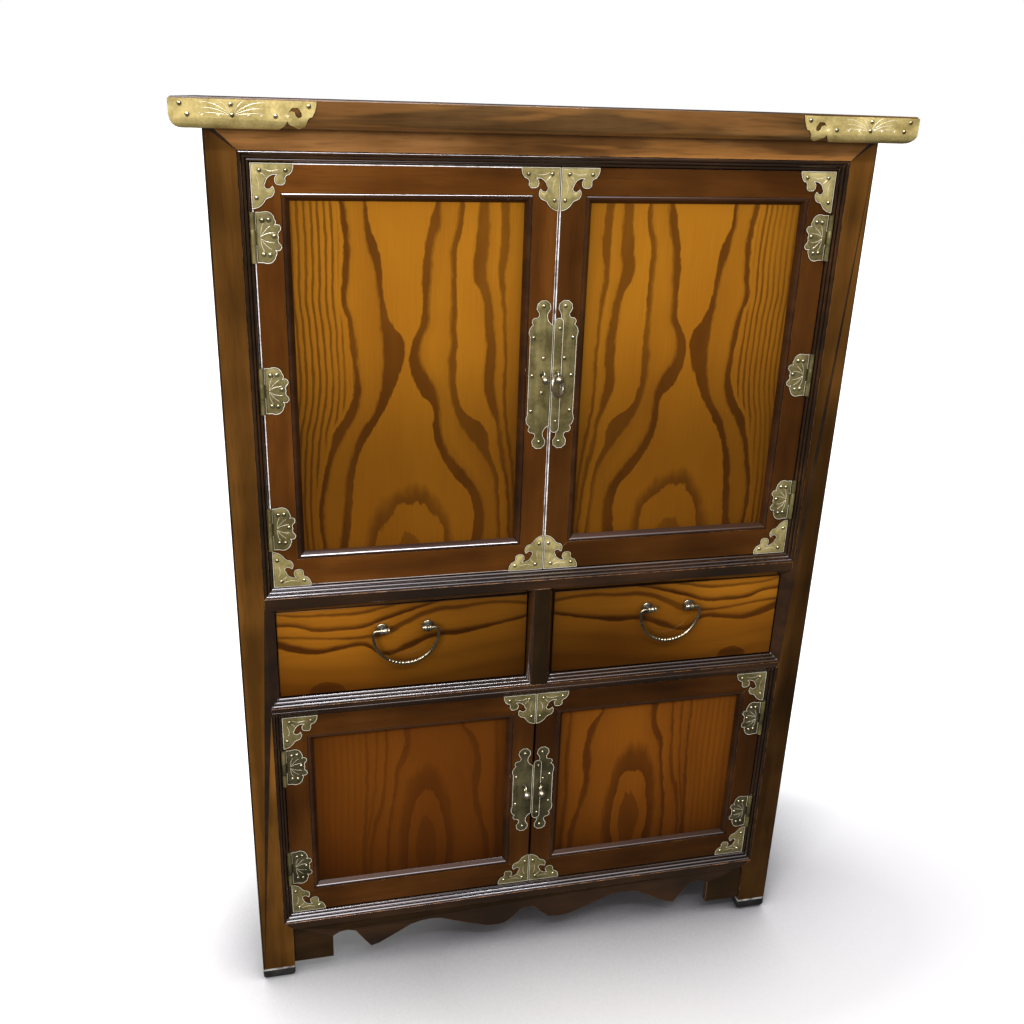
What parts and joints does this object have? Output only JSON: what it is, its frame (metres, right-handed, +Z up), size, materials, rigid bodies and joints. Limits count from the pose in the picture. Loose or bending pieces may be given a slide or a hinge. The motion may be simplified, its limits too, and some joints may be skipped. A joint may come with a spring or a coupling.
{
  "type": "korean two tier chest",
  "caption": "Tiered Korean wooden chest with hinged panelled doors above and below a row of drawers, overhanging top, scalloped apron and brass fittings",
  "frame": {"origin": "middle of the footprint, on the floor", "axes": "+X to the right of a viewer who faces the doors, +Y towards the back, +Z up"},
  "size_m": [0.9244, 0.4642, 1.312],
  "materials": {
    "frame_wood": "glossy dark red brown lacquer",
    "upper_panel_wood": "glossy golden lacquer over bold grain",
    "drawer_wood": "glossy golden brown lacquer",
    "lower_panel_wood": "glossy red brown lacquer over bold grain",
    "inner_wood": "plain matt wood",
    "brass": "aged olive gold brass, engraved",
    "bright_brass": "brighter brass of the bails, their posts and the ring",
    "foot_pad": "matt black"
  },
  "bodies": {
    "carcass": {"back_panels": "inner_wood", "back_post_left": "frame_wood", "back_post_right": "frame_wood", "back_rails": "inner_wood", "bottom_board": "inner_wood", "bottom_rail": "frame_wood", "drawer_deck": "inner_wood", "drawer_divider": "frame_wood", "drawer_guides": "inner_wood", "foot_pads": "foot_pad", "frame_hinges": "brass", "front_apron": "frame_wood", "front_post_left": "frame_wood", "front_post_right": "frame_wood", "lower_drawer_rail": "frame_wood", "side_aprons": "frame_wood", "side_panels_left": "frame_wood", "side_panels_right": "frame_wood", "side_rails_left": "frame_wood", "side_rails_right": "frame_wood", "top_board": "frame_wood", "top_cap_left": "brass", "top_cap_right": "brass", "top_rail": "frame_wood", "upper_drawer_rail": "frame_wood", "upper_floor": "inner_wood"},
    "upper_left_door": {"upper_left_corner_plates": "brass", "upper_left_door_frame": "frame_wood", "upper_left_door_panel": "upper_panel_wood", "upper_left_hinge_leaves": "brass", "upper_left_lock": "brass"},
    "upper_right_door": {"upper_right_corner_plates": "brass", "upper_right_door_frame": "frame_wood", "upper_right_door_panel": "upper_panel_wood", "upper_right_hinge_leaves": "brass", "upper_right_lock": "brass"},
    "lower_left_door": {"lower_left_corner_plates": "brass", "lower_left_door_frame": "frame_wood", "lower_left_door_panel": "lower_panel_wood", "lower_left_hinge_leaves": "brass", "lower_left_lock": "brass"},
    "lower_right_door": {"lower_right_corner_plates": "brass", "lower_right_door_frame": "frame_wood", "lower_right_door_panel": "lower_panel_wood", "lower_right_hinge_leaves": "brass", "lower_right_lock": "brass"},
    "left_drawer": {"left_bail_posts": "bright_brass", "left_drawer_box": "inner_wood", "left_drawer_front": "drawer_wood"},
    "left_handle": {"left_bail": "bright_brass"},
    "right_drawer": {"right_bail_posts": "bright_brass", "right_drawer_box": "inner_wood", "right_drawer_front": "drawer_wood"},
    "right_handle": {"right_bail": "bright_brass"},
    "ring": {"lock_ring": "bright_brass"}
  },
  "joints": [
    {"name": "upper_left_door_hinge", "type": "hinge", "parent": "carcass", "child": "upper_left_door", "pos_m": [-0.37975, -0.1922, 0.96425], "axis": [0, 0, -1], "range_deg": [0, 135]},
    {"name": "upper_right_door_hinge", "type": "hinge", "parent": "carcass", "child": "upper_right_door", "pos_m": [0.37975, -0.1922, 0.96425], "axis": [0, 0, 1], "range_deg": [0, 135]},
    {"name": "lower_left_door_hinge", "type": "hinge", "parent": "carcass", "child": "lower_left_door", "pos_m": [-0.37975, -0.1922, 0.3], "axis": [0, 0, -1], "range_deg": [0, 135]},
    {"name": "lower_right_door_hinge", "type": "hinge", "parent": "carcass", "child": "lower_right_door", "pos_m": [0.37975, -0.1922, 0.3], "axis": [0, 0, 1], "range_deg": [0, 135]},
    {"name": "left_drawer_slide", "type": "slide", "parent": "carcass", "child": "left_drawer", "axis": [0, -1, 0], "range_m": [0, 0.28]},
    {"name": "left_handle_swing", "type": "hinge", "parent": "left_drawer", "child": "left_handle", "pos_m": [-0.19975, -0.1999, 0.61225], "axis": [-1, 0, 0], "range_deg": [-7, 95]},
    {"name": "right_drawer_slide", "type": "slide", "parent": "carcass", "child": "right_drawer", "axis": [0, -1, 0], "range_m": [0, 0.28]},
    {"name": "right_handle_swing", "type": "hinge", "parent": "right_drawer", "child": "right_handle", "pos_m": [0.19975, -0.1999, 0.61225], "axis": [-1, 0, 0], "range_deg": [-7, 95]},
    {"name": "ring_swing", "type": "hinge", "parent": "upper_right_door", "child": "ring", "pos_m": [0.0135, -0.1987, 0.97625], "axis": [-1, 0, 0], "range_deg": [0, 100]}
  ]
}
